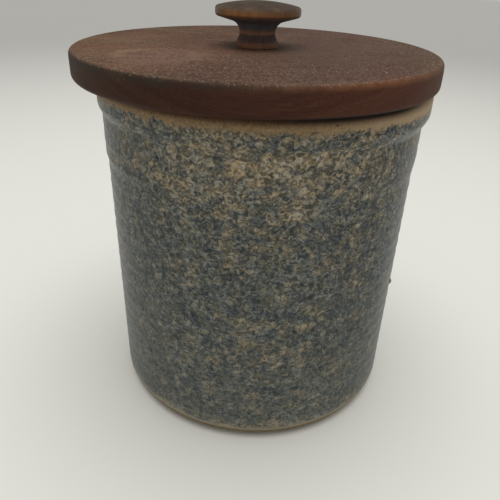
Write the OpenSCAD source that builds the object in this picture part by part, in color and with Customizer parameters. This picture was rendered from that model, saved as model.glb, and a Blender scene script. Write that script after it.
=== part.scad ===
// Butter crock: a thrown and glazed stoneware crock under a turned wooden lid.
// Millimetres, +Z up. The origin is on the crock's axis, on the flat of its foot.

/* [Crock] */
// Height of the crock, from its foot to the top of its rim
crock_height = 174; // [120:1:240]
// Outside diameter of the wall, just above the rounded heel
body_diameter = 158.4; // [110:0.2:220]
// How much further out the wall stands at its top than at its foot
body_flare = 0.5; // [0:0.1:4]
// Thickness of the wall
wall = 7.2; // [5:0.2:11]
// Thickness of the floor
floor_thickness = 9; // [6:0.5:16]
// Radius of the rounded heel, where the wall turns into the foot
heel_radius = 8.5; // [2:0.5:12]
// Radius of the hollow between the floor and the wall inside
inside_corner = 14; // [6:1:24]
// Height of each ring that the potter's fingers left up the inside of the wall
ring_pitch = 9; // [6:0.5:14]
// Depth of those rings
ring_depth = 0.5; // [0.2:0.1:1]

/* [Rim] */
// Height of the shallow collar under the rim, down from the top of the rim
collar_drop = 37; // [28:1:50]
// How far the collar stands out from the wall
collar_stand = 0.8; // [0.2:0.1:2]
// Length of the slope that leads from the wall out to the collar
collar_slope = 5; // [2:0.5:8]
// Height of the thick band that finishes the rim, down to the middle of the slope under it
band_height = 13; // [9:0.5:18]
// Height of that slope, which leads from the collar out to the band
band_slope = 5; // [2:0.5:8]
// How far the band stands out from the collar
band_stand = 2.9; // [1.5:0.1:5]
// Radius of the two bends of the slope
band_bend = 5; // [1:0.5:8]
// Radius of the rim's outer edge
rim_outer_edge = 4; // [1:0.25:5]
// Radius of the rim's inner edge
rim_inner_edge = 3; // [1:0.25:4]

/* [Lid] */
// Thickness of the lid's disc, above the rim
lid_thickness = 12.7; // [8:0.1:20]
// How far the lid reaches past the rim when it lies in the middle
lid_overhang = 5.5; // [2:0.1:12]
// Radius of the lid's upper edge
lid_upper_edge = 2.2; // [0.5:0.1:4]
// Radius of the lid's lower edge
lid_lower_edge = 2.6; // [0.5:0.1:4]
// Depth of the plug that drops into the crock's mouth
plug_depth = 6.3; // [3:0.1:12]
// Play between the plug and the mouth, all round, when the lid lies in the middle
plug_play = 4.2; // [1:0.1:6]
// What is left of that play on the side that the lid has slid to
plug_rest_gap = 0.3; // [0.1:0.1:0.9]
// Side that the lid has slid to, as an angle about the axis
lid_rest_angle = 186; // [0:1:359]
// Radius of the plug's lower edge
plug_edge = 1.5; // [0.5:0.1:2.5]

/* [Knob] */
// Height of the knob above the lid
knob_height = 20.5; // [17:0.1:30]
// Diameter of the knob's cap
cap_diameter = 41.2; // [34:0.2:56]
// Height of the cap's upright edge
cap_edge_height = 3.9; // [2.5:0.1:6]
// Rise of the domed top above that edge
cap_dome = 2.6; // [1:0.1:5]
// Radius of the cap's upper and lower corners
cap_corner = 1.5; // [0.4:0.1:2]
// Slope of the cap's underside, in degrees from level
underside_slope = 16; // [5:1:30]
// Diameter of the neck at its narrowest
neck_diameter = 17.4; // [14:0.2:24]
// Radius of the cove that is turned into the neck
cove_radius = 5.5; // [4:0.1:6]
// Diameter of the knob's foot, where it meets the lid
foot_diameter = 20.2; // [18:0.2:26]
// Height of the foot
foot_height = 3.2; // [1.5:0.1:5]
// Radius of the foot's edge
foot_edge = 0.4; // [0.1:0.1:0.8]

/* [Screw] */
// Length of the screw that holds the knob
screw_length = 31.7; // [28:0.1:34]
// Diameter of the screw's shank and thread
screw_diameter = 4.2; // [3:0.1:5]
// Diameter of the countersunk head
screw_head_diameter = 8.2; // [6.5:0.1:10]
// Length of the tapered point
screw_point = 6; // [3:0.5:9]
// Width of the slot in the head
slot_width = 1.1; // [0.8:0.1:1.6]
// Depth of the slot
slot_depth = 1.2; // [0.6:0.1:1.5]
// How far the head is sunk below the face of the plug
head_sink = 0.4; // [0.1:0.1:1]
// Clearance round the shank, in its hole through the lid
shank_clearance = 0.3; // [0.1:0.05:0.6]
// Clearance between the head and its countersink, and between the thread and the knob
seat_clearance = 0.05; // [0.02:0.01:0.1]

/* [Hidden] */

$fn = 96;
// Flat steps in each rounded corner, each longer curve and each finger ring
corner_steps = 6;
curve_steps = 14;
ring_steps = 6;

// Crock
body_r = body_diameter / 2;
body_top_r = body_r + body_flare;
collar_r = body_top_r + collar_stand;
band_r = collar_r + band_stand;
mouth_r = body_r - wall;
collar_z = crock_height - collar_drop;
band_z = crock_height - band_height;
rings_top = band_z;
rings_low = floor_thickness + inside_corner;
ring_count = floor((rings_top - rings_low) / ring_pitch);

// Lid: it lies on the rim, slid aside by the play of its plug
plug_r = mouth_r - plug_play;
lid_r = band_r + lid_overhang;
lid_shift = plug_play - plug_rest_gap;
lid_x = lid_shift * cos(lid_rest_angle);
lid_y = lid_shift * sin(lid_rest_angle);

// Knob: a cove rises from the foot and runs out along the underside of the cap
cap_r = cap_diameter / 2;
neck_r = neck_diameter / 2;
rim_top_z = knob_height - cap_dome;
rim_low_z = rim_top_z - cap_edge_height;
cove_x = neck_r + cove_radius;
cove_end_x = cove_x - cove_radius * sin(underside_slope);
cove_end_z = rim_low_z - (cap_r - cove_end_x) * tan(underside_slope);
cove_z = cove_end_z - cove_radius * cos(underside_slope);
cove_start = asin(min(1, (cove_z - foot_height) / cove_radius));
dome_r = (cap_r * cap_r + cap_dome * cap_dome) / (2 * cap_dome);

// Screw: driven from below, up through the lid and into the knob
screw_r = screw_diameter / 2;
screw_head_r = screw_head_diameter / 2;
screw_head_height = screw_head_r - screw_r;
thread_z = plug_depth - head_sink;
eps = 0.01;

function unit(v) = v / norm(v);
function flat(p) = [p[0], p[1]];

// Points of an arc round a centre
function arc(centre, r, from, to, steps) =
    [for (i = [0:steps])
        let (a = from + (to - from) * i / steps)
        [centre[0] + r * cos(a), centre[1] + r * sin(a), 0]];

// One corner p of an outline between its neighbours a and b. Each is [x, z, radius].
// The radius shrinks where the two sides have no room for it.
function corner(a, p, b) =
    p[2] == 0 ? [flat(p)] :
    let (
        u = unit(flat(a) - flat(p)),
        w = unit(flat(b) - flat(p)),
        half = acos(u * w) / 2,
        room_u = norm(flat(a) - flat(p)) * (a[2] > 0 ? 0.49 : 0.98),
        room_w = norm(flat(b) - flat(p)) * (b[2] > 0 ? 0.49 : 0.98),
        reach = min(p[2] / tan(half), room_u, room_w),
        r = reach * tan(half),
        centre = flat(p) + unit(u + w) * r / sin(half),
        start = flat(p) + u * reach - centre,
        from = atan2(start[1], start[0]),
        turn = (180 - 2 * half) * sign(cross(w, u))
    )
    [for (i = [0:corner_steps])
        let (t = from + turn * i / corner_steps)
        centre + r * [cos(t), sin(t)]];

function rounded(points) =
    let (n = len(points))
    [for (i = [0:n - 1]) each corner(points[(i + n - 1) % n], points[i], points[(i + 1) % n])];

module turned(points) {
    rotate_extrude()
        polygon(rounded(points));
}

// Shallow rings down the inside of the wall, each a wave that cuts outwards
function finger_rings() =
    [for (i = [0:ring_count * ring_steps])
        let (t = i / ring_steps)
        [mouth_r + ring_depth * (1 - cos(360 * t)) / 2, rings_top - t * ring_pitch, 0]];

module crock() {
    color([0.48, 0.47, 0.40])
        turned(concat(
            [
                [0, 0, 0],
                [body_r, 0, heel_radius],
                [body_top_r, collar_z - collar_slope / 2, collar_slope],
                [collar_r, collar_z + collar_slope / 2, collar_slope],
                [collar_r, band_z - band_slope / 2, band_bend],
                [band_r, band_z + band_slope / 2, band_bend],
                [band_r, crock_height, rim_outer_edge],
                [mouth_r, crock_height, rim_inner_edge],
            ],
            finger_rings(),
            [[mouth_r, floor_thickness, inside_corner], [0, floor_thickness, 0]]
        ));
}

// The screw's outline, from the face of its head up, grown by a clearance all round
module screw_outline(gap_head, gap_shank) {
    turned([
        [0, 0, 0],
        [screw_head_r + gap_head, 0, 0],
        [screw_r + gap_shank, screw_head_height + gap_head - gap_shank, 0],
        [screw_r + gap_shank, screw_length - screw_point, 0],
        [0, screw_length + gap_shank, 0],
    ]);
}

module lid() {
    color([0.36, 0.20, 0.14])
        translate([lid_x, lid_y, crock_height])
            difference() {
                turned([
                    [0, -plug_depth, 0],
                    [plug_r, -plug_depth, plug_edge],
                    [plug_r, 0, 0],
                    [lid_r, 0, lid_lower_edge],
                    [lid_r, lid_thickness, lid_upper_edge],
                    [0, lid_thickness, 0],
                ]);
                translate([0, 0, -thread_z])
                    screw_outline(seat_clearance, shank_clearance);
                translate([0, 0, -plug_depth - eps])
                    cylinder(r = screw_head_r + seat_clearance, h = head_sink + 2 * eps);
            }
}

module knob() {
    color([0.50, 0.29, 0.14])
        translate([lid_x, lid_y, crock_height + lid_thickness])
            difference() {
                turned(concat(
                    [[0, 0, 0], [foot_diameter / 2, 0, foot_edge], [foot_diameter / 2, foot_height, foot_edge]],
                    arc([cove_x, cove_z], cove_radius, 180 + cove_start, 90 + underside_slope, curve_steps),
                    [[cap_r, rim_low_z, cap_corner], [cap_r, rim_top_z, cap_corner]],
                    dome()
                ));
                translate([0, 0, -lid_thickness - thread_z])
                    screw_outline(seat_clearance, seat_clearance);
            }
}

// The domed top of the cap, from its second step in to the middle
function dome() =
    let (
        edge = asin(cap_r / dome_r),
        points = arc([0, knob_height - dome_r], dome_r, 90 - edge, 90, curve_steps)
    )
    [for (i = [2:curve_steps]) points[i]];

module knob_screw() {
    color([0.72, 0.60, 0.34])
        translate([lid_x, lid_y, crock_height - thread_z])
            difference() {
                screw_outline(0, 0);
                translate([-screw_head_r - eps, -slot_width / 2, -eps])
                    cube([2 * (screw_head_r + eps), slot_width, slot_depth + eps]);
            }
}

crock();
lid();
knob();
knob_screw();
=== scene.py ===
import math

import bpy
import numpy as np
from mathutils import Matrix, Vector


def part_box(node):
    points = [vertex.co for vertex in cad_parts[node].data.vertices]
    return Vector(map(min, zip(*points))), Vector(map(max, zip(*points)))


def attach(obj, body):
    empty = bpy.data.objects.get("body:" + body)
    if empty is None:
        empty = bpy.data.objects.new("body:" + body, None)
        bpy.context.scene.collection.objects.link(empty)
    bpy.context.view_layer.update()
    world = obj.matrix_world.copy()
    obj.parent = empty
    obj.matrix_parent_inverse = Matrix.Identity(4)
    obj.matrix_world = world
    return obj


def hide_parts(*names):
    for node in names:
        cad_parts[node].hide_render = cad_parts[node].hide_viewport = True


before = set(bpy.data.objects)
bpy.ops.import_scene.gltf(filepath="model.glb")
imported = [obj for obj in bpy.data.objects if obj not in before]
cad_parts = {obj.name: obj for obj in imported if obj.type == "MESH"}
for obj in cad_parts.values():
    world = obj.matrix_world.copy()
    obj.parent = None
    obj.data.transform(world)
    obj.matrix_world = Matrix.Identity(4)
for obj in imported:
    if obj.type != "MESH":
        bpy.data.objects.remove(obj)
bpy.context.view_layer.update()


# ---------------------------------------------------------------------------------------
# The crock: a straight pot of buff stoneware, thrown on a wheel, sponged with blue-grey
# slip and dipped in a clear glossy glaze. The lip and the foot were wiped bare, so that
# the lid can sit on clean clay and the pot does not stick to the kiln shelf.
# ---------------------------------------------------------------------------------------
MM = 0.001
crock_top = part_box("crock")[1].z
crock_height = crock_top / MM

# Sizes are in millimetres. An r is a distance out from the axis, a z is a height.
body_r = 79.2
body_top_r = 79.7
collar_r = 80.5
band_r = 83.4
mouth_r = 72.0
rim_crown_r = (band_r + mouth_r) / 2
collar_z, collar_slope = crock_height - 37, 5
band_z, band_slope = crock_height - 13, 5
wall_bend = 5
heel_radius = 8.5
rim_outer_edge, rim_inner_edge = 4, 3
floor_top = 9.0
inside_corner = 14.0
ring_pitch, ring_depth = 9, 0.5
glaze_line = crock_height - 6.4
foot_line = 6.6
around = 240

# How far the potter's hand strays, in millimetres, and to which side, in radians
coarse_line, coarse_pitch = 0.10, 8.3
fine_line, fine_pitch = 0.07, 3.7
oval, three_sided = 0.16, 0.12
hollow = 0.15
slope_tilt, slope_side, slope_wave = 0.9, 2.9, 0.2
rim_slack, slack_side = 0.55, 3.2


def rounded(points, steps=8):
    """An outline with its corners turned into arcs, from points (r, z, corner radius)."""
    line = []
    count = len(points)
    for i, (x, z, r) in enumerate(points):
        p = np.array((x, z), float)
        if r == 0:
            line.append(p)
            continue
        a, b = points[i - 1], points[(i + 1) % count]
        u, w = np.array(a[:2]) - p, np.array(b[:2]) - p
        # Of a side that the next corner needs too, a corner may use almost half, or else all
        room_before = np.linalg.norm(u) * (0.49 if a[2] else 0.98)
        room_after = np.linalg.norm(w) * (0.49 if b[2] else 0.98)
        u, w = u / np.linalg.norm(u), w / np.linalg.norm(w)
        half = math.acos(max(-1, min(1, float(u @ w)))) / 2
        reach = min(r / math.tan(half), room_before, room_after)
        r = reach * math.tan(half)
        centre = p + (u + w) / np.linalg.norm(u + w) * r / math.sin(half)
        start, end = p + u * reach - centre, p + w * reach - centre
        turn = math.atan2(start[0] * end[1] - start[1] * end[0], float(start @ end))
        for k in range(steps + 1):
            c, s = math.cos(turn * k / steps), math.sin(turn * k / steps)
            spoke = np.array((c * start[0] - s * start[1], s * start[0] + c * start[1]))
            line.append(centre + spoke)
    return line


def divided(line, step):
    """The same outline with a point at least every step millimetres."""
    out = []
    for a, b in zip(line, line[1:]):
        parts = max(1, math.ceil(np.linalg.norm(b - a) / step))
        out += [a + (b - a) * k / parts for k in range(parts)]
    return out + [line[-1]]


def turned(name, line, sides, centre=(0, 0, 0), shape=None):
    """A turned solid: an outline that starts and ends on the axis, swept round it.
    shape(radius, angle, height) may give a new radius and height, in millimetres."""
    rings = [p for p in line if p[0] > 1e-6]
    angles = np.linspace(0, 2 * math.pi, sides, endpoint=False)
    r = np.array([p[0] for p in rings])[:, None] * np.ones(sides)
    z = np.array([p[1] for p in rings])[:, None] * np.ones(sides)
    a = np.ones(len(rings))[:, None] * angles
    if shape:
        r, z = shape(r, a, z)
    x, y = r * np.cos(a), r * np.sin(a)
    skin = np.stack([x, y, z], -1).reshape(-1, 3)
    ends = np.array([[0, 0, line[0][1]], [0, 0, line[-1][1]]])
    points = np.vstack([skin, ends]) * MM + np.array(centre)
    faces = []
    for i in range(len(rings) - 1):
        for j in range(sides):
            k = (j + 1) % sides
            faces.append((i * sides + j, i * sides + k, (i + 1) * sides + k, (i + 1) * sides + j))
    first, last = len(rings) * sides, len(rings) * sides + 1
    top = (len(rings) - 1) * sides
    for j in range(sides):
        k = (j + 1) % sides
        faces.append((first, k, j))
        faces.append((last, top + j, top + k))
    mesh = bpy.data.meshes.new(name)
    mesh.from_pydata(points.tolist(), [], faces)
    mesh.polygons.foreach_set("use_smooth", [True] * len(faces))
    mesh.validate()
    piece = bpy.data.objects.new(name, mesh)
    bpy.context.scene.collection.objects.link(piece)
    return piece


def finger_rings(top, low, steps=8):
    """Rings left by the potter's fingers: a wave down the inside of the wall."""
    count = int((top - low) / ring_pitch)
    wave = []
    for t in range(count * steps + 1):
        out = ring_depth * (1 - math.cos(math.tau * t / steps)) / 2
        wave.append((mouth_r + out, top - t * ring_pitch / steps, 0))
    return wave


def fade(value, start, length):
    """0 up to start, and from there evenly up to 1."""
    return np.clip((value - start) / length, 0, 1)


def by_hand(r, a, z):
    """Throwing lines, a slow spiral and a pot that isn't quite round, on the outside only."""
    outer = r > body_r - 2
    above_heel = fade(z, 12, 20)
    below_band = 1 - fade(z, band_z - 14, 10)
    wall = above_heel * below_band * outer
    lines = (coarse_line * np.sin(z / coarse_pitch * math.tau + a)
             + fine_line * np.sin(z / fine_pitch * math.tau + 2.1 * np.sin(a)))
    swell = oval * np.sin(2 * a + 0.6) + three_sided * np.sin(3 * a + z / 60)
    rim = fade(r, rim_crown_r, 3) * fade(z, band_z, 3)
    drawn_in = rim_slack * (1 + np.cos(a - slack_side)) * rim
    under_band = np.exp(-((z - band_z) / band_slope) ** 2) * outer
    uneven = slope_tilt * np.cos(a - slope_side) + slope_wave * np.sin(5 * a)
    return r + wall * (lines + swell - hollow) - drawn_in, z + under_band * uneven


outside = rounded([
    (0, 0, 0),
    (body_r, 0, heel_radius),
    (body_top_r, collar_z - collar_slope / 2, wall_bend),
    (collar_r, collar_z + collar_slope / 2, wall_bend),
    (collar_r, band_z - band_slope / 2, wall_bend),
    (band_r, band_z + band_slope / 2, wall_bend),
    (band_r, crock_height, rim_outer_edge),
    (mouth_r, crock_height, rim_inner_edge),
    (mouth_r, band_z, 0)])[:-1]
inside = rounded(
    finger_rings(band_z, floor_top + inside_corner)
    + [(mouth_r, floor_top, inside_corner), (0, floor_top, 0)])
crock_outline = divided(outside, step=1.4) + divided(inside, step=3)
crock = turned("stoneware_crock", crock_outline, around, shape=by_hand)


def colour(red, green, blue):
    """A colour as it shows on a screen, 0 to 255, for a shader."""
    linear = []
    for v in (red, green, blue):
        linear.append(((v / 255 + 0.055) / 1.055) ** 2.4 if v > 10 else v / 255 / 12.92)
    return (*linear, 1)


class Shader:
    """Builds one node material: each call adds a node and returns its output.
    A mask is a value that is 1 where it holds and 0 elsewhere."""

    def __init__(self, name):
        self.material = bpy.data.materials.new(name)
        self.material.use_nodes = True
        self.tree = self.material.node_tree
        self.principled = self.tree.nodes["Principled BSDF"]

    def node(self, kind, inputs, out=0, **settings):
        """Adds a node of any kind and returns one of its outputs."""
        n = self.tree.nodes.new("ShaderNode" + kind)
        for key, value in settings.items():
            setattr(n, key, value)
        self.fill(n, inputs)
        return n.outputs[out]

    def fill(self, n, inputs):
        """Links each input to another node, or sets it to a plain value."""
        for key, value in inputs.items():
            socket = n.inputs[key]
            if isinstance(value, bpy.types.NodeSocket):
                self.tree.links.new(value, socket)
            else:
                socket.default_value = value

    def place(self, scale=(1, 1, 1), shift=(0, 0, 0)):
        """The place on the piece, in metres, shifted and then scaled along each axis."""
        at = self.node("TexCoord", {}, out="Object")
        moved = self.node("VectorMath", {0: at, 1: shift}, operation="SUBTRACT")
        return self.node("VectorMath", {0: moved, 1: scale}, operation="MULTIPLY")

    def parts(self, vector):
        """The three parts of a place or a colour."""
        n = self.tree.nodes.new("ShaderNodeSeparateXYZ")
        self.fill(n, {0: vector})
        return n.outputs

    def math(self, operation, a, b=0.0, c=0.0):
        return self.node("Math", {0: a, 1: b, 2: c}, operation=operation)

    def times(self, a, b):
        return self.math("MULTIPLY", a, b)

    def add(self, base, *terms):
        """The base plus each term times its weight."""
        for term, weight in terms:
            base = self.math("MULTIPLY_ADD", term, weight, base)
        return base

    def from_axis(self, a, b):
        """How far a place lies from an axis, from its distances a and b along two square sides."""
        return self.math("SQRT", self.math("ADD", self.times(a, a), self.times(b, b)))

    def noise(self, vector, scale, detail=2.0, roughness=0.5, distortion=0.0):
        """Random lumps between 0 and 1, about scale of them to the metre. Detail adds finer
        lumps, roughness makes those stronger, and distortion curls them."""
        return self.node("TexNoise", {"Vector": vector, "Scale": scale, "Detail": detail,
                                      "Roughness": roughness, "Distortion": distortion})

    def swing(self, noise):
        """A noise counted from its middle, so that it goes both ways from 0."""
        return self.math("SUBTRACT", noise, 0.5)

    def total(self, *noises):
        """The weighted sum of noises, counted so that its own middle is about 0.5."""
        middle = 0.5 - sum(weight for _, weight in noises) / 2
        return self.add(middle, *noises)

    def step(self, value, low, high):
        """A mask: 0 up to low, 1 from high on, smooth between."""
        return self.node("MapRange", {"Value": value, "From Min": low, "From Max": high},
                         interpolation_type="SMOOTHSTEP")

    def beyond(self, place, low, high):
        """The same mask for a place, which is in metres, and limits in millimetres."""
        return self.step(place, low * MM, high * MM)

    def both(self, a, b):
        """Where both masks hold."""
        return self.times(a, b)

    def without(self, a, b):
        """Where the first mask holds and the second does not."""
        return self.times(a, self.math("SUBTRACT", 1.0, b))

    def either(self, a, b):
        """Where one of two masks holds."""
        return self.math("MAXIMUM", a, b)

    def dots(self, vector, scale, size, share):
        """A mask of round specks of one size and uneven strength, in a share of the cells of a
        random grid with about scale cells to the metre."""
        n = self.tree.nodes.new("ShaderNodeTexVoronoi")
        self.fill(n, {"Vector": vector, "Scale": scale})
        near = self.step(n.outputs["Distance"], size, size * 0.6)
        pick = self.parts(n.outputs["Color"])
        strength = self.add(0.3, (pick[1], 0.7))
        return self.both(self.both(near, strength), self.math("LESS_THAN", pick[0], share))

    def ramp(self, value, stops):
        """A colour that runs through the stops, each a (value, colour)."""
        n = self.tree.nodes.new("ShaderNodeValToRGB")
        self.fill(n, {0: value})
        marks = n.color_ramp.elements
        while len(marks) < len(stops):
            marks.new(0.5)
        for mark, (at, tint) in zip(marks, stops):
            mark.position = at
            mark.color = tint
        return n.outputs[0]

    def levels(self, value, *stops):
        """A number that runs through the stops, each a (value, number)."""
        return self.ramp(value, [(at, (level, level, level, 1)) for at, level in stops])

    def tints(self, value, *stops):
        """A colour that runs through the stops, each a (value, red, green, blue)."""
        return self.ramp(value, [(at, colour(*tint)) for at, *tint in stops])

    def mix(self, mask, under, over, blend="MIX"):
        """The second colour over the first where the mask holds. Blender numbers the sockets
        of colours 6, 7 and, for what comes out, 2."""
        n = self.tree.nodes.new("ShaderNodeMix")
        n.data_type = "RGBA"
        n.blend_type = blend
        self.fill(n, {0: mask, 6: under, 7: over})
        return n.outputs[2]

    def wash(self, mask, strength, under, over, blend="MIX"):
        """The same, but only in the given strength."""
        return self.mix(self.times(mask, strength), under, over, blend)

    def relief(self, height, strength, deep, **over):
        """Raised detail up to deep millimetres, over the relief given as Normal."""
        inputs = {"Height": height, "Strength": strength, "Distance": deep * MM}
        return self.node("Bump", {**inputs, **over})

    def surface(self, **inputs):
        """Gives the surface its colour, roughness and so on, and returns the finished material."""
        self.fill(self.principled, {key.replace("_", " "): value for key, value in inputs.items()})
        return self.material


glaze = Shader("mottled_glaze")
here = glaze.place()
x, y, z = glaze.parts(here)
height = glaze.math("DIVIDE", z, crock_height * MM)
side = glaze.math("ABSOLUTE", x)
radius = glaze.from_axis(x, y)

# What the sponge left, from the finest marks to the widest
spots = glaze.place((1, 1, 1.15))
grain = glaze.noise(spots, 1000, 1, 0.5)
fleck = glaze.noise(spots, 470, 3, 0.50, 1.0)
blush = glaze.noise(spots, 210, 2, 0.5)
dabs = glaze.noise(spots, 160, 2, 0.5)
sponge = glaze.noise(spots, 62, 1, 0.5)
clouds = glaze.noise(spots, 24, 2, 0.55)

# How light and how warm the slip is, from the foot to the lip
lightness = glaze.levels(
    height,
    (0.000, 0.60), (0.045, 0.605), (0.085, 0.53), (0.350, 0.512), (0.720, 0.512),
    (0.830, 0.568), (0.895, 0.576), (0.925, 0.52), (0.955, 0.535), (0.980, 0.61))
warmth = glaze.levels(
    height,
    (0.000, 0.75), (0.035, 0.56), (0.080, 0.36), (0.500, 0.40), (0.740, 0.47),
    (0.830, 0.66), (0.905, 0.67), (0.930, 0.50), (0.950, 0.60), (0.975, 0.85))

# Towards the sides, and most of all on the collar there, the slip is bluer. It is also darker
# there, and a little on the right: painted shade
below_band = glaze.step(height, 0.93, 0.89)
collar_sides = glaze.both(glaze.step(height, 0.74, 0.83), glaze.beyond(side, 30, 62))
collar_sides = glaze.both(collar_sides, below_band)
# Painted shade: darker towards the sides, most of all on the collar, and a little on the right
darker = glaze.times(glaze.both(below_band, glaze.beyond(side, 30, 78)), -0.045)
darker = glaze.add(darker, (collar_sides, -0.035), (glaze.beyond(x, 20, 50), -0.018))
bluer = glaze.times(glaze.beyond(x, -5, -60), -0.13)
bluer = glaze.add(bluer, (glaze.beyond(side, 45, 76), -0.09), (collar_sides, -0.10))

# The marks stand out more towards the rim, and less at one side
contrast = glaze.levels(height, (0.10, 0.66), (0.45, 0.82), (0.80, 1.0), (0.92, 1.0))
contrast = glaze.times(contrast, glaze.add(1.0, (glaze.beyond(x, -20, -60), -0.15)))
grain_weight = glaze.add(-0.02, (height, 0.24))
dabs_weight = glaze.add(0.40, (glaze.step(height, 0.45, 0.70), -0.12))
marks = glaze.times(glaze.swing(grain), grain_weight)
marks = glaze.add(marks, (glaze.swing(dabs), dabs_weight), (glaze.swing(fleck), 0.99))
tone = glaze.add(lightness, (marks, contrast), (glaze.swing(clouds), 0.04), (darker, 1.0))
cool_slip = glaze.tints(
    tone,
    (0.28, 42, 48, 53), (0.37, 58, 63, 65), (0.44, 72, 76, 75), (0.51, 88, 91, 86),
    (0.58, 106, 108, 100), (0.67, 133, 132, 121))
warm_slip = glaze.tints(
    tone,
    (0.29, 54, 54, 49), (0.38, 70, 69, 61), (0.45, 86, 83, 72), (0.51, 100, 95, 82),
    (0.58, 123, 114, 96), (0.66, 152, 139, 115), (0.76, 176, 163, 139))
hue = glaze.total((dabs, 1.0), (sponge, 0.6), (clouds, 0.35), (warmth, 1.0))
hue = glaze.add(hue, (bluer, 1.0))
slip = glaze.mix(glaze.step(hue, 0.30, 0.78), cool_slip, warm_slip)
cast = glaze.mix(glaze.step(blush, 0.38, 0.62), (0.95, 1.0, 1.12, 1), (1.08, 0.995, 0.88, 1))
slip = glaze.wash(contrast, 0.75, slip, cast, "MULTIPLY")

# The glaze ends in a ragged line at the lip, and in a paler roll above the bare foot
ragged = glaze.total((fleck, 0.55), (dabs, 0.45))
lip_edge = glaze.add(z, (x, 0.012), (ragged, 9 * MM), (glaze.beyond(x, -64, -80), 2.5 * MM))
lip = glaze.beyond(lip_edge, glaze_line + 3.3, glaze_line + 6.0)
foot_edge = glaze.add(z, (ragged, -2 * MM))
foot = glaze.beyond(foot_edge, foot_line - 0.8, foot_line - 1.6)
glaze_roll = glaze.without(glaze.beyond(foot_edge, foot_line + 1.4, foot_line + 0.2), foot)
slip = glaze.wash(glaze_roll, 0.8, slip, colour(140, 132, 112))
slip = glaze.mix(glaze.dots(here, 150, 0.07, 0.12), slip, colour(56, 42, 34))

# Bare clay. It is darker at the foot, painted shade under the heel, and darker at the top of the
# rim's flank, painted shade under the lid. It is paler on that flank at one side, painted light
clay = glaze.tints(
    glaze.noise(here, 900, 4, 0.7),
    (0.28, 112, 90, 62), (0.5, 140, 117, 85), (0.72, 160, 138, 105))
# Painted shade: the bare foot is darker and greyer, for the shade under the heel
clay = glaze.mix(foot, clay, (0.65, 0.69, 0.68, 1), "MULTIPLY")
flank = glaze.beyond(radius, band_r - 3.6, band_r - 1.8)
right_end = glaze.beyond(x, 52, 75)
# Painted light: the bare flank of the rim is paler towards one side
clay = glaze.wash(glaze.both(flank, glaze.beyond(x, 10, 66)), 0.75, clay, colour(172, 151, 122))
# Painted shade: the top of the rim's flank is darker under the lid, less so at the right end
lid_shade = glaze.both(flank, glaze.beyond(z, crock_height - 5.2, crock_height - 1.8))
lid_shade = glaze.without(lid_shade, glaze.times(right_end, 0.8))
clay = glaze.mix(lid_shade, clay, (0.44, 0.37, 0.38, 1), "MULTIPLY")

# Painted shade: the rim is dark in the gap under the lid, from the front round to the right
open_side = glaze.both(glaze.beyond(x, -15, 30), glaze.beyond(y, 0, -30))
open_side = glaze.without(open_side, right_end)
in_gap = glaze.both(flank, glaze.beyond(z, crock_height - 2.9, crock_height - 1.5))
clay = glaze.wash(glaze.both(open_side, in_gap), 0.85, clay, colour(40, 36, 36))
clay = glaze.mix(glaze.dots(here, 230, 0.13, 0.55), clay, colour(40, 30, 26))

# The liner: a plain pale glaze on the inside, up to the crown of the rim
liner = glaze.tints(
    glaze.noise(here, 60, 4, 0.6),
    (0.3, 150, 138, 114), (0.5, 168, 156, 131), (0.7, 180, 170, 146))
liner = glaze.mix(glaze.dots(here, 260, 0.2, 0.35), liner, colour(104, 84, 60))
liner_edge = glaze.add(radius, (ragged, 2 * MM))
within = glaze.both(
    glaze.beyond(liner_edge, rim_crown_r - 1.7, rim_crown_r - 2.3),
    glaze.beyond(z, floor_top - 5, floor_top - 4))

bare = glaze.without(glaze.either(lip, foot), within)
coat = glaze.mix(bare, slip, clay)
coat = glaze.mix(within, coat, liner)
ripple = glaze.relief(glaze.noise(here, 90, 3, 0.5), 0.14, 0.6)
skin = glaze.relief(fleck, 0.10, 0.2, Normal=ripple)
gloss = glaze.add(0.26, (dabs, 0.12), (bare, 0.25))
crock.data.materials.append(glaze.surface(
    Base_Color=coat, Roughness=gloss, Normal=skin, Specular_IOR_Level=0.10))
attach(crock, "crock")
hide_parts("crock")


# ---------------------------------------------------------------------------------------
# The bead: one drop of the clear glaze, which ran down the wall in the kiln and froze low
# on it. It is fused to the pot.
# ---------------------------------------------------------------------------------------
bead_angle = math.radians(-17.8)
bead_z = 68.4
bead_r, bead_root_r = 1.5, 1.875
bead_rise, bead_shoulder, bead_root = 1.1, 0.605, 0.6
bead_outline = rounded([
    (0, -bead_root, 0),
    (bead_root_r, -bead_root, 0.1),
    (bead_r, bead_shoulder, 0.9),
    (0, bead_rise, 0)])
bead = turned("glaze_bead", divided(bead_outline, step=0.3), sides=28)
outward = Vector((math.cos(bead_angle), math.sin(bead_angle), 0))
bead_seat = outward * (body_r + 0.1) * MM + Vector((0, 0, bead_z * MM))
facing_out = outward.to_track_quat("Z", "Y").to_matrix().to_4x4()
bead.data.transform(Matrix.Translation(bead_seat) @ facing_out)

drop = Shader("pooled_glaze")
drop_colour = drop.tints(drop.noise(drop.place(), 900, 2), (0.4, 96, 98, 88), (0.6, 140, 136, 118))
bead.data.materials.append(drop.surface(Base_Color=drop_colour, Roughness=0.12))
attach(bead, "crock")


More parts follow.
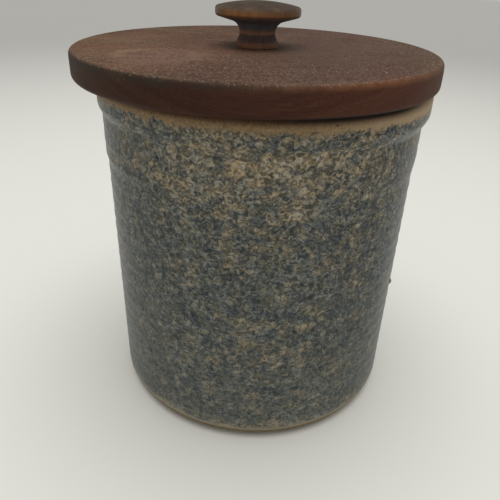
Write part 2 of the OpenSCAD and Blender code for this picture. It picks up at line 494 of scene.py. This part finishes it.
# ---------------------------------------------------------------------------------------
# The lid: a disc of red-brown hardwood, turned from one board and oiled, with a plug
# under it that drops loosely into the mouth. Its shoulder is worn on one side and grimy
# on the other. Dust and flour lie on its top, round the ring that a jar left there.
# ---------------------------------------------------------------------------------------
lid_low, lid_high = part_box("lid")
lid_centre = ((lid_low.x + lid_high.x) / 2, (lid_low.y + lid_high.y) / 2, crock_top)
lid_r = (lid_high.x - lid_low.x) / 2 / MM
lid_thickness = (lid_high.z - crock_top) / MM
shoulder, lower_edge = 2.2, 2.6
plug_depth = (crock_top - lid_low.z) / MM
plug_r, plug_edge = 67.8, 1.5
sink_r, sink_mouth_r, sink_depth, sink_edge = 4, 4.15, 2, 0.1
sanded_off, slow_wave, short_wave = 0.15, 0.10, 0.05
lid_outline = rounded([
    (0, -plug_depth + sink_depth, 0),
    (sink_r, -plug_depth + sink_depth, 0),
    (sink_mouth_r, -plug_depth, sink_edge),
    (plug_r, -plug_depth, plug_edge),
    (plug_r, 0, 0),
    (lid_r, 0, lower_edge),
    (lid_r, lid_thickness, shoulder),
    (0, lid_thickness, 0)])


def uneven_edge(r, a, z):
    """The shoulder was sanded by hand, so its edge wanders a little."""
    edge = fade(r, lid_r - 6, 4) * fade(z, lid_thickness - 4, 3)
    loss = sanded_off + slow_wave * np.sin(3 * a + 1) + short_wave * np.sin(11 * a)
    return r - edge * loss, z


lid = turned("turned_lid", divided(lid_outline, step=2), around, lid_centre, uneven_edge)

board = Shader("oiled_hardwood")
here = board.place(shift=lid_centre)
x, y, z = board.parts(here)
radius = board.from_axis(x, y)

# Growth rings round a heart that lay below the board, fibres and open pores along the board
heart_y, heart_z = -22, -75
wander = board.noise(board.place((6, 14, 14)), 1, 2, 0.5)
from_heart = board.from_axis(
    board.math("SUBTRACT", y, heart_y * MM),
    board.math("SUBTRACT", z, heart_z * MM))
from_heart = board.add(from_heart, (wander, 14 * MM))
ring_place = board.node("CombineXYZ", {0: board.times(x, 5), 1: board.times(from_heart, 330)})
rings = board.noise(ring_place, 1, 3, 0.55, 0.2)
fibres = board.noise(board.place((0.05, 1, 1)), 1300, 2, 0.6)
pores = board.step(board.noise(board.place((0.10, 1, 1)), 2100, 1, 0.5), 0.60, 0.68)
wood = board.tints(
    board.total((rings, 0.45), (fibres, 0.45)),
    (0.30, 47, 27, 20), (0.44, 56, 33, 25), (0.56, 63, 39, 29), (0.72, 75, 47, 35))
wood = board.wash(pores, 0.35, wood, colour(30, 17, 13))

# The wood is redder and lighter towards one side and greyer towards the other. At the far end of
# the redder side,
# below the shoulder, its flank is darker: painted shade
wood = board.wash(board.beyond(x, -45, 85), 0.65, wood, (2.35, 2.0, 1.7, 1), "MULTIPLY")
wood = board.wash(board.beyond(x, 52, 80), 0.35, wood, colour(80, 64, 44))
# Painted shade: the flank is darker at the far end of the redder side
far_end_shade = board.both(
    board.beyond(x, 78, 88),
    board.beyond(z, lid_thickness - 2.2, lid_thickness - 3.4))
wood = board.wash(far_end_shade, 0.5, wood, colour(44, 33, 26))
wood = board.wash(board.beyond(x, -30, -90), 0.50, wood, colour(56, 46, 27))

# Painted shade: under its edge, from the front round to the right, the lid is near black, like the
# rim below it, for the shade of the gap
open_side = board.both(board.beyond(x, -15, 30), board.beyond(x, 75, 52))
open_side = board.both(open_side, board.beyond(y, 0, -30))
under_edge = board.both(board.beyond(z, 1.6, 0.4), board.beyond(radius, lid_r - 6, lid_r - 4))
wood = board.mix(board.both(open_side, under_edge), wood, colour(22, 19, 17))

# The rounded shoulder: worn to bare orange wood on one side, grimy and lower on the other
grimy_side = board.beyond(x, 0, -45)
worn_from = board.add((lid_thickness - 2.2) * MM, (grimy_side, -1.6 * MM))
worn = board.both(
    board.beyond(radius, lid_r - 3.2, lid_r - 1.6),
    board.beyond(board.math("SUBTRACT", z, worn_from), -1, 1))
orange_side = board.beyond(board.add(x, (wander, 60 * MM)), 0, 70)
worn_wood = board.mix(orange_side, colour(52, 45, 37), colour(114, 73, 48))
worn_wood = board.wash(board.beyond(x, 60, 82), 0.7, worn_wood, colour(96, 75, 61))
nicks = board.step(board.noise(board.place((1, 0.12, 0.12)), 2600, 1, 0.5), 0.50, 0.64)
nicked = board.step(board.noise(here, 22, 1), 0.46, 0.60)
worn_wood = board.mix(board.both(nicked, nicks), worn_wood, colour(98, 72, 54))
scuffs = board.step(board.noise(here, 90, 3, 0.6), 0.36, 0.60)
wood = board.mix(board.both(worn, board.add(0.40, (scuffs, 0.45))), wood, worn_wood)

# A thin film of dust on the top, browner on one side, with the ring of the jar
on_top = board.both(
    board.beyond(z, lid_thickness - 0.9, lid_thickness - 0.1),
    board.beyond(radius, lid_r + 0.6, lid_r - 1.6))
mist = board.noise(here, 30, 3, 0.6)
smears = board.noise(board.place((0.6, 1.6, 1)), 120, 3, 0.6)
streaks = board.noise(board.place((0.45, 1, 1)), 30, 2, 0.5)
grit = board.noise(board.place((1, 0.6, 1)), 800, 2, 0.7)
film = board.mix(board.beyond(x, -75, 55), colour(149, 118, 90), colour(101, 95, 85))
red_streaks = board.both(board.step(streaks, 0.42, 0.62), board.beyond(x, 30, -40))
film = board.wash(red_streaks, 0.8, film, colour(144, 104, 82))
film = board.mix(board.step(mist, 0.40, 0.62), film, (1.06, 1.00, 0.94, 1), "MULTIPLY")
jar_centre = (-42 * MM, -37 * MM, lid_thickness * MM)
from_jar = board.node("VectorMath", {0: here, 1: jar_centre}, out="Value", operation="DISTANCE")
from_jar = board.add(from_jar, (smears, 7 * MM))
under_jar = board.beyond(from_jar, 27.5, 20.5)
jar_ring = board.both(under_jar, board.beyond(from_jar, 16.5, 23.5))
jar_ring = board.both(jar_ring, board.beyond(y, -50, -34))
film = board.wash(under_jar, 0.7, film, colour(154, 122, 104))
film = board.mix(board.both(jar_ring, board.beyond(x, -30, -60)), film, colour(178, 144, 108))
film_cover = board.total((mist, 0.45), (smears, 0.40), (streaks, -0.25), (grit, 0.9))
film_cover = board.math("SUBTRACT", film_cover, 0.285)
# Painted light: the film is thicker round the knob, to lighten the top where the knob's shade
# falls
film_cover = board.add(
    film_cover,
    (board.beyond(from_jar, 62, 12), 0.15),
    (jar_ring, 0.05),
    (board.beyond(radius, 40, 14), 0.12),
    (board.beyond(x, 5, -45), 0.05),
    (board.beyond(y, -25, -55), -0.05))
wood = board.mix(board.both(on_top, film_cover), wood, film)

# Flour on the film, most of it along the front and at one side: powder, grains, a few crumbs
along_front = board.beyond(board.add(y, (mist, 50 * MM)), 12, -22)
to_the_right = board.beyond(board.add(x, (mist, 80 * MM)), 30, 130)
floury = board.either(along_front, board.times(to_the_right, 0.85))
floury = board.without(floury, board.times(under_jar, 0.5))
swept_aside = board.both(board.beyond(x, 35, 70), board.beyond(radius, lid_r - 10, lid_r - 4))
powder = board.step(board.noise(here, 480, 4, 0.8), 0.48, 0.66)
powder = board.times(powder, board.add(0.06, (floury, 0.06), (swept_aside, 0.12)))
wood = board.mix(board.both(on_top, powder), wood, colour(150, 130, 114))
near_edge = board.both(
    board.beyond(z, lid_thickness - 1.8, lid_thickness - 0.4),
    board.beyond(radius, lid_r + 0.4, lid_r - 1.4))
specks = board.times(board.dots(here, 950, 0.44, 0.50), 0.30)
grains = board.times(board.dots(here, 560, 0.28, 0.22), 0.50)
crumbs = board.times(board.dots(here, 200, 0.11, 0.06), 0.95)
flour = board.either(board.either(specks, grains), crumbs)
flour = board.times(board.both(near_edge, flour), board.add(0.1, (floury, 0.9)))
wood = board.mix(flour, wood, colour(192, 170, 150))

# Faint circles from the lathe, and raised grain
lathe_place = board.node("CombineXYZ", {0: board.times(radius, 1100), 1: board.times(z, 900)})
lathe = board.noise(lathe_place, 1, 2, 0.6)
raised = board.relief(board.total((lathe, 0.5), (fibres, 0.5), (pores, -0.6)), 0.25, 0.2)
dull = board.add(0.52, (fibres, 0.2), (on_top, 0.15))
lid.data.materials.append(board.surface(
    Base_Color=wood, Roughness=dull, Normal=raised, Specular_IOR_Level=0.12))
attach(lid, "lid")
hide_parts("lid")


# ---------------------------------------------------------------------------------------
# The knob: a mushroom turned from a lighter, closer-grained wood and lacquered. A cove is
# cut into its neck, where wax has gathered and shade and a highlight are painted. Its flat foot
# stands on the lid.
# ---------------------------------------------------------------------------------------
knob_low, knob_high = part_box("knob")
knob_seat = (lid_centre[0], lid_centre[1], knob_low.z)
knob_height = (knob_high.z - knob_low.z) / MM
cap_r = (knob_high.x - knob_low.x) / 2 / MM
cap_dome, cap_side, cap_edge = 2.6, 3.9, 1.5
underside_slope = math.radians(16)
neck_r, cove_radius = 8.7, 5.5
knob_foot_r, knob_foot_height, knob_foot_edge = 10.1, 3.2, 0.4


def arc(x, z, r, start, end, steps):
    """Points along an arc of radius r about (x, z), from one angle to another."""
    angles = [start + (end - start) * i / steps for i in range(steps + 1)]
    return [(x + r * math.cos(a), z + r * math.sin(a), 0) for a in angles]


# The cove runs on smoothly into the sloped underside of the cap. The dome is part of a ball,
# and its first points are left out, because they lie in the rounded edge of the cap.
cap_top = knob_height - cap_dome
cap_low = cap_top - cap_side
cove_x = neck_r + cove_radius
cove_end_x = cove_x - cove_radius * math.sin(underside_slope)
cove_end_z = cap_low - (cap_r - cove_end_x) * math.tan(underside_slope)
cove_z = cove_end_z - cove_radius * math.cos(underside_slope)
cove_start = math.pi + math.asin((cove_z - knob_foot_height) / cove_radius)
cove_end = math.pi / 2 + underside_slope
ball_r = (cap_r ** 2 + cap_dome ** 2) / (2 * cap_dome)
dome_start = math.pi / 2 - math.asin(cap_r / ball_r)
knob_outline = rounded(
    [(0, 0, 0), (knob_foot_r, 0, knob_foot_edge), (knob_foot_r, knob_foot_height, knob_foot_edge)]
    + arc(cove_x, cove_z, cove_radius, cove_start, cove_end, steps=24)
    + [(cap_r, cap_low, cap_edge), (cap_r, cap_top, cap_edge)]
    + arc(0, knob_height - ball_r, ball_r, dome_start, math.pi / 2, steps=14)[2:])
knob = turned("turned_knob", divided(knob_outline, step=0.7), sides=160, centre=knob_seat)

lacquer = Shader("lacquered_wood")
here = lacquer.place(shift=knob_seat)
x, _, z = lacquer.parts(here)
curl = lacquer.noise(lacquer.place((1, 1, 0.25)), 260, 3, 0.6, 0.5)
fibres = lacquer.noise(lacquer.place((1, 1, 0.08)), 1900, 2, 0.6)
drift = lacquer.noise(here, 160, 3, 0.6)

# From the foot up: the foot, a dark band above it, a lighter ring at the neck, the grey underside
# and the cap, whose edge is darker on both sides, where fingers hold it. The dark band and the
# grey underside are painted shade under the cap, and the lighter ring is a painted highlight on
# the lacquer
knob_wood = lacquer.tints(
    lacquer.math("DIVIDE", z, knob_height * MM),
    (0.00, 126, 90, 69), (0.10, 128, 92, 71), (0.155, 88, 72, 65), (0.27, 86, 71, 65),
    (0.33, 142, 106, 86), (0.37, 132, 96, 76), (0.42, 92, 90, 93), (0.66, 106, 109, 115),
    (0.71, 104, 72, 50), (0.76, 152, 103, 62), (0.81, 144, 105, 72), (0.87, 106, 84, 63),
    (0.92, 92, 71, 52))
handled = lacquer.either(lacquer.beyond(x, 0, 16), lacquer.beyond(x, -11, -18))
handled = lacquer.both(handled, lacquer.beyond(z, cap_low + 0.5, cap_low + 1.5))
knob_wood = lacquer.wash(handled, 0.7, knob_wood, colour(92, 72, 54))
dark_grain = lacquer.step(lacquer.total((curl, 0.8), (fibres, 0.25)), 0.65, 0.35)
knob_wood = lacquer.wash(dark_grain, 0.45, knob_wood, (0.45, 0.42, 0.42, 1), "MULTIPLY")

# Dust and a few motes on the dome, and a dull film of wax from the foot to the underside
settled = lacquer.add(z, (drift, 2.2 * MM))
on_dome = lacquer.beyond(settled, cap_top + 0.1, cap_top + 1.7)
dust = lacquer.times(on_dome, lacquer.add(0.40, (drift, 0.5)))
knob_wood = lacquer.mix(dust, knob_wood, colour(43, 32, 20))
motes = lacquer.both(lacquer.dots(here, 700, 0.25, 0.25), on_dome)
knob_wood = lacquer.wash(motes, 0.25, knob_wood, colour(128, 114, 98))
waxy = lacquer.both(
    lacquer.beyond(z, knob_foot_height - 0.4, knob_foot_height + 0.4),
    lacquer.beyond(z, cap_low + 0.5, cap_low - 0.5))
knob_gloss = lacquer.add(0.32, (lacquer.either(dust, waxy), 0.45))
knob.data.materials.append(lacquer.surface(
    Base_Color=knob_wood, Roughness=knob_gloss, Normal=lacquer.relief(fibres, 0.12, 0.2),
    Specular_IOR_Level=0.15))
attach(knob, "lid")
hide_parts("knob")


# ---------------------------------------------------------------------------------------
# The screw: a slotted brass countersunk screw, driven from below through the lid into the
# knob. Only its head shows, sunk a little into the face of the plug.
# ---------------------------------------------------------------------------------------
metal = Shader("dulled_brass")
scratches = metal.noise(metal.place((1, 0.06, 1)), 5000, 2, 0.6)
tarnish = metal.noise(metal.place(), 500, 3, 0.6)
brass = metal.tints(
    metal.total((tarnish, 1.0), (scratches, 0.3)),
    (0.3, 96, 74, 44), (0.5, 150, 121, 70), (0.7, 178, 148, 90))
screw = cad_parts["knob_screw"]
screw.data.materials.clear()
screw.data.materials.append(metal.surface(
    Base_Color=brass, Metallic=1.0, Roughness=metal.add(0.2, (tarnish, 0.3)),
    Normal=metal.relief(scratches, 0.2, 0.1)))


# ---------------------------------------------------------------------------------------
# The studio: a wide painted floor, an even grey room and one broad soft lamp overhead. The
# camera stands close in front and looks down on the lid, with a slight tilt to one side.
# ---------------------------------------------------------------------------------------
floor_reach = 4000 * MM
floor_corners = [(-1, -1), (1, -1), (1, 1), (-1, 1)]
floor_mesh = bpy.data.meshes.new("floor")
floor_mesh.from_pydata(
    [(i * floor_reach, j * floor_reach, 0) for i, j in floor_corners], [], [(0, 1, 2, 3)])
floor = bpy.data.objects.new("floor", floor_mesh)
bpy.context.scene.collection.objects.link(floor)
ground = Shader("pale_floor")
# Painted light and shade on the floor: paler near the pot, to lift the pot's shade there, and
# darker far off, where light falls off
from_pot = ground.node("VectorMath", {0: ground.place()}, out="Value", operation="LENGTH")
paint = ground.mix(
    ground.beyond(from_pot, 120, 1500), colour(229, 229, 222), colour(168, 167, 162))
floor_mesh.materials.append(ground.surface(Base_Color=paint, Roughness=0.6))

world = bpy.data.worlds.new("studio")
bpy.context.scene.world = world
world.use_nodes = True
room = world.node_tree.nodes["Background"]
room.inputs["Color"].default_value = (1.0, 0.99, 0.97, 1)
room.inputs["Strength"].default_value = 0.5

lamp_data = bpy.data.lights.new("soft_lamp", "SUN")
lamp_data.angle = math.radians(60)
lamp_data.energy = 1.65
lamp = bpy.data.objects.new("soft_lamp", lamp_data)
lamp_aim = Vector((-0.03, 0, -1))
lamp.rotation_euler = lamp_aim.to_track_quat("-Z", "Y").to_euler()
bpy.context.scene.collection.objects.link(lamp)

eye = Vector((-3.66, -273.4, 225.0)) * MM
look_down = math.radians(29.316)
side_tilt = math.radians(2.07)
forward = Vector((0, math.cos(look_down), -math.sin(look_down)))
level = Vector((1, 0, 0))
rise = Vector((0, math.sin(look_down), math.cos(look_down)))
right = math.cos(side_tilt) * level + math.sin(side_tilt) * rise
up = math.cos(side_tilt) * rise - math.sin(side_tilt) * level
camera_data = bpy.data.cameras.new("camera")
camera_data.sensor_width = 36
camera_data.lens = 37.56456
camera_data.clip_start = 10 * MM
camera = bpy.data.objects.new("camera", camera_data)
bpy.context.scene.collection.objects.link(camera)
camera_axes = Matrix((right, up, -forward)).transposed().to_4x4()
camera.matrix_world = Matrix.Translation(eye) @ camera_axes
bpy.context.scene.camera = camera
bpy.context.scene.view_settings.view_transform = "Standard"
